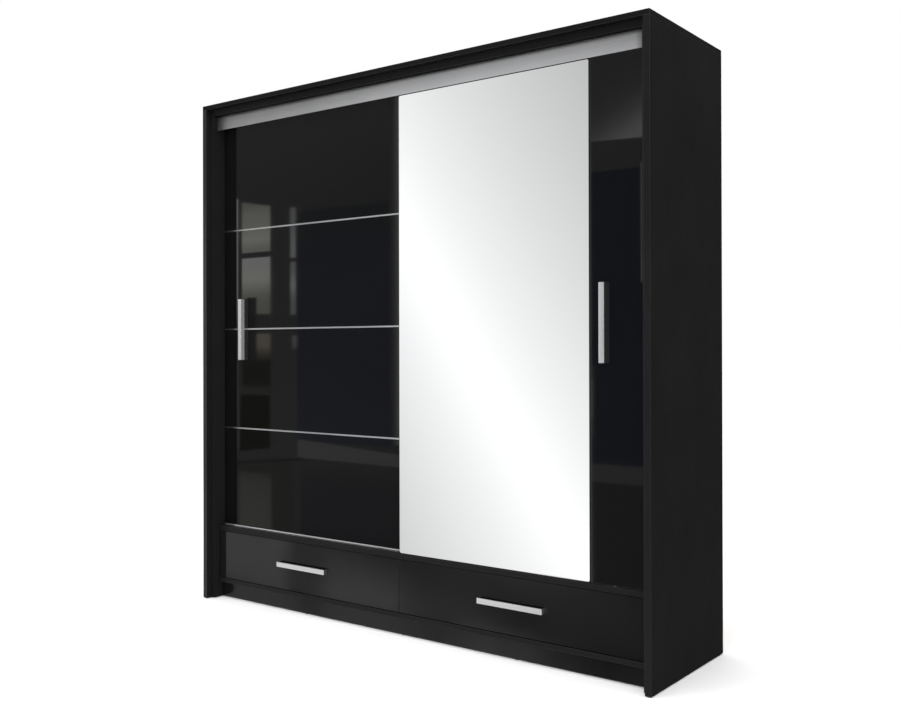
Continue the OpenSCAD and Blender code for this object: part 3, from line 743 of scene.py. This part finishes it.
banded("far_pane_1", FAR_LEFT, FAR_RIGHT, 1.830, 2.240, 3, [(0.16, g(1.40)), (0.47, g(1.2)), (0.88, g(1.1))])
banded("far_pane_2", FAR_LEFT, FAR_RIGHT, 1.365, 1.797, 3, [(0.28, g(0.95)), (0.56, g(1.8)), (0.85, g(1.1))])
card("far_pane_3", -3.455, -3.405, 1.087, 1.193, 3, g(0.6), g(0.9))
# Painted shadow: dark cards that put the shadow of the rear door's handle into the glass's reflection, just
# to the right of the handle, darkest at its left.
card("window_post", HANDLE_SHADOW_LEFT, HANDLE_SHADOW_RIGHT, HANDLE_SHADOW_FOOT, HANDLE_SHADOW_TOP, 4, g(0.10), g(0.10))
card("rear_handle_shadow_side", HANDLE_SHADOW_LEFT, -3.955, HANDLE_SHADOW_FOOT, HANDLE_SHADOW_TOP, 5, g(0.0), g(0.0))
# Daylight beside the window and on the floor there: it glosses the left front edge and the left drawer.
banded("side_daylight", ROOM_LEFT, DAYLIGHT_RIGHT, 0.26, 2.22, 1, [
    (0.0, g(1.3)), (0.8, g(1.3)), (0.88, g(1.0)), (1.0, g(0.45)),
])
card("side_sill", ROOM_LEFT, DAYLIGHT_RIGHT, -0.14, 0.26, 1, g(0.45), g(0.75))
card("side_floor_light", ROOM_LEFT, DAYLIGHT_RIGHT, -1.05, -0.14, 5, g(2.6), g(1.7))
banded("floor_sheen", -4.083, -3.703, FLOOR_FOOT, 0.045, 2, [
    (0.0, g(0.44, WARM)), (0.55, g(0.41, WARM)), (0.88, g(0.35, WARM)), (0.97, g(0.27)),
])
card("floor_sheen_edge", -4.14, -4.083, FLOOR_FOOT, 0.045, 2, g(0.24), g(0.22))
# A fade into the mirror's pale wall, which the rear door's glass shows at its right end.
FADE_LEFT, FADE_WIDTH = -2.44, 0.14
fade = Glow("door_edge_fade").graded(1 / FADE_WIDTH, 0, -FADE_LEFT / FADE_WIDTH, [
    (0.0, g(0.13)), (0.35, g(0.28)), (0.6, g(0.75)), (1.0, g(1.1)),
])
place_card("door_edge_fade", FADE_LEFT, MIRROR_LEFT, 0.36, CARD_TOP, 3, fade)

# The pale wall that fills the mirror. It is brightest along a diagonal, from START of the way down at the
# left to the foot at the right.
WALL_LEFT, WALL_WIDTH, WALL_HEAD, WALL_DROP = -2.28, 1.554, 2.997, 3.416
SLOPE, START = 0.7, 0.3
MIRROR_FOOT = -0.46
mirror_glow = Glow("mirror_wall", 1.12).graded(
    -SLOPE / WALL_WIDTH, -1 / WALL_DROP, WALL_HEAD / WALL_DROP + SLOPE * WALL_LEFT / WALL_WIDTH - START,
    [(0.0, g(1.02)), (0.25, g(0.855)), (0.5, g(0.72)), (0.75, g(0.60)), (1.0, g(0.49))], fold=True,
)
place_card("mirror_wall", MIRROR_LEFT, STRIP_LEFT, MIRROR_FOOT, CARD_TOP, 0, mirror_glow)

# What the narrow glass at the right reflects: ceiling, wall, skirting, floor, and a beam that grows brighter
# downwards and to the right.
BLUE = (0.72, 0.92, 1.45)
STRIP_WALL_TOP, SKIRTING_FOOT = 2.22, 0.228
card("strip_ceiling", STRIP_LEFT, STRIP_RIGHT, STRIP_WALL_TOP, CARD_TOP, 0, g(0.19), g(0.24))
card("strip_wall", STRIP_LEFT, STRIP_RIGHT, WALL_FOOT, STRIP_WALL_TOP, 0, g(0.085, BLUE), g(0.06, BLUE))
card("strip_skirting", STRIP_LEFT, STRIP_RIGHT, SKIRTING_FOOT, WALL_FOOT, 0, g(0.29), g(0.29))
card("strip_floor", STRIP_LEFT, STRIP_RIGHT, FLOOR_FOOT, SKIRTING_FOOT, 0, g(0.11), g(0.11))
card("strip_corner", -0.382, -0.372, 1.50, 2.25, 1, g(0.9), g(0.9))
beam = Glow("strip_beam").graded(1.1, -2.05, 6.4835, [
    (0.0, g(0.22)), (0.25, g(0.25)), (0.5, g(0.33)), (0.72, g(0.56)), (1.0, g(1.10)),
])
shaped_card("strip_beam", [
    (STRIP_LEFT, 2.42), (STRIP_RIGHT, 2.40), (STRIP_RIGHT, 2.92), (STRIP_LEFT, 2.92),
], 1, beam)
# A soft gleam at the left of that glass, with a brighter core.
GLEAM_WIDTH = 0.030
GLEAM_RIGHT = STRIP_LEFT + GLEAM_WIDTH
GLEAMS = (("strip_gleam", 0.52, 0.98, 2, 0.45), ("strip_gleam_core", 0.64, 0.88, 3, 0.95))
for name, z0, z1, layer, light in GLEAMS:
    gleam = Glow(name).graded(-1 / GLEAM_WIDTH, 0, GLEAM_RIGHT / GLEAM_WIDTH, [
        (0.0, g(0.07)), (0.3, g(0.12)), (1.0, g(light)),
    ])
    place_card(name, STRIP_LEFT, GLEAM_RIGHT, z0, z1, layer, gleam)

# Below the doors, the drawers and the plinth gloss with the light on the floor in front of them: a bright
# patch by the window at the left, a paler one beside it, and shade to the right. Each row is radiance over x.
FLOOR_SPAN = 4.6
FLOOR_FAR = (
    (-0.43, 0.20), (-1.14, 0.46), (-2.20, 0.08), (-2.90, 0.42), (-3.35, 0.35), (-3.50, 1.15), (-4.30, 0.95),
)
FLOOR_MIDDLE = (
    (-0.43, 0.18), (-1.30, 0.12), (-1.60, 0.42), (-2.22, 0.62), (-2.36, 1.20), (-2.95, 1.15), (-3.13, 0.52),
    (-3.40, 0.42), (-3.50, 1.00), (-4.30, 0.85),
)
FLOOR_NEAR = (
    (-0.74, 0.0), (-1.00, 0.36), (-1.30, 0.95), (-1.72, 1.10), (-1.90, 0.22), (-2.33, 0.76), (-2.95, 0.82),
    (-3.38, 0.14), (-3.47, 0.88), (-4.30, 0.36),
)
FLOOR_LAYER = 6


def floor_row(lights):
    return [((STRIP_RIGHT - x) / FLOOR_SPAN, g(light)) for x, light in lights]


def floor_patch(name, z0, z1, low_row, high_row):
    glow = Glow(name).mixed(
        -1 / FLOOR_SPAN, STRIP_RIGHT / FLOOR_SPAN, 1 / (z1 - z0), -z0 / (z1 - z0),
        floor_row(low_row), floor_row(high_row),
    )
    place_card(name, STRIP_RIGHT - FLOOR_SPAN, STRIP_RIGHT, z0, z1, FLOOR_LAYER, glow)


floor_patch("floor_ahead", -0.80, -0.44, FLOOR_MIDDLE, FLOOR_FAR)
floor_patch("floor_near", -0.90, -0.80, FLOOR_NEAR, FLOOR_MIDDLE)
floor_patch("floor_close", -2.4, -0.90, FLOOR_NEAR, FLOOR_NEAR)

# Pale studio walls to the left and right of all that, and overhead in front.
STUDIO_REACH, STUDIO_FOOT, STUDIO_TOP = 9.0, -2.4, 5.0
DARK_RIGHT = 0.35
card("studio_left", -STUDIO_REACH, ROOM_LEFT, STUDIO_FOOT, STUDIO_TOP, 0, g(0.8), g(1.0))
card("studio_dark", STRIP_RIGHT, DARK_RIGHT, STUDIO_FOOT, CARD_TOP, 0, g(0.12), g(0.12))
card("studio_right", DARK_RIGHT, STUDIO_REACH, STUDIO_FOOT, STUDIO_TOP, 0, g(0.7), g(0.9))
card("studio_top", ROOM_LEFT, DARK_RIGHT, CARD_TOP, STUDIO_TOP, 0, g(0.55), g(0.9))
# A pale ground for the mirror when it is seen from above, under every reflection that the main view has.
GROUND = -1.13
ground_corners = [
    (-STUDIO_REACH, CARD_Y, GROUND), (STUDIO_REACH, CARD_Y, GROUND), (STUDIO_REACH, 0, GROUND),
    (-STUDIO_REACH, 0, GROUND),
]
ground_glow = Glow("studio_ground").graded(0, 1.0, 0.5, [(0.0, g(0.85)), (1.0, g(0.87))])
reflected_only(staged_plane("studio_ground", ground_corners, ground_glow))


def softbox(name, where, aim, size, power):
    """An area light that reflections don't show."""
    data = bpy.data.lights.new(name, "AREA")
    data.shape = "RECTANGLE"
    data.size, data.size_y = size
    data.energy = power
    obj = bpy.data.objects.new(name, data)
    bpy.context.scene.collection.objects.link(obj)
    obj.location = where
    obj.rotation_euler = (Vector(aim) - Vector(where)).to_track_quat("-Z", "Y").to_euler()
    obj.visible_glossy = False


softbox("overhead_softbox", (0.3, -1.6, 5.2), (0, -0.2, 0.0), (5.0, 4.0), 190)
softbox("front_softbox", (-2.6, -5.0, 2.6), (0, -0.3, 1.1), (2.6, 2.6), 60)


def light_the_studio():
    """White behind everything, an even fill for matt surfaces, and for gloss a dim room, paler overhead."""
    world = bpy.data.worlds.new("studio")
    bpy.context.scene.world = world
    world.use_nodes = True
    sky = Nodes(world.node_tree)
    sky.tree.nodes.clear()
    out = sky.add("ShaderNodeOutputWorld")
    path = sky.add("ShaderNodeLightPath")
    backdrop = sky.add("ShaderNodeBackground")
    backdrop.inputs["Color"].default_value = (1, 1, 1, 1)
    fill = sky.add("ShaderNodeBackground")
    fill.inputs["Color"].default_value = (1, 1, 1, 1)
    fill.inputs["Strength"].default_value = 1.22
    room = sky.add("ShaderNodeBackground")
    height = sky.span(sky.axis("Generated", Z), -1, 1, 0, 1)
    levels = [(0.0, 0.10), (0.45, 0.06), (0.55, 0.06), (0.65, 0.08), (0.85, 0.3), (1.0, 0.5)]
    sky.link(sky.ramp(height, [(place, g(level)) for place, level in levels]), room.inputs["Color"])
    unseen = sky.add("ShaderNodeMixShader")
    whole = sky.add("ShaderNodeMixShader")
    for mix, sources in (
        (unseen, (path.outputs["Is Glossy Ray"], fill.outputs[0], room.outputs[0])),
        (whole, (path.outputs["Is Camera Ray"], unseen.outputs[0], backdrop.outputs[0])),
    ):
        for socket, source in zip(mix.inputs, sources):
            sky.link(source, socket)
    sky.link(whole.outputs[0], out.inputs["Surface"])


light_the_studio()


# ---------------------------------------------------------------- camera

CAMERA_AT = Vector((2.41085, -3.32882, 1.09147))
YAW, PITCH, ROLL = 0.6804, 0.0032, -0.0020
camera_data = bpy.data.cameras.new("camera")
camera_data.sensor_width = 36.0
camera_data.lens = 41.3436
camera_data.shift_x = 0.07715
camera_data.shift_y = -0.01695
camera_data.clip_end = 200
camera = bpy.data.objects.new("camera", camera_data)
bpy.context.scene.collection.objects.link(camera)
forward = Vector((-math.sin(YAW) * math.cos(PITCH), math.cos(YAW) * math.cos(PITCH), math.sin(PITCH)))
flat_right = Vector((math.cos(YAW), math.sin(YAW), 0))
flat_up = flat_right.cross(forward)
right = math.cos(ROLL) * flat_right + math.sin(ROLL) * flat_up
up = -math.sin(ROLL) * flat_right + math.cos(ROLL) * flat_up
turn = Matrix((right, up, -forward)).transposed().to_4x4()
camera.matrix_world = Matrix.Translation(CAMERA_AT) @ turn
bpy.context.scene.camera = camera
bpy.context.scene.view_settings.view_transform = "Standard"
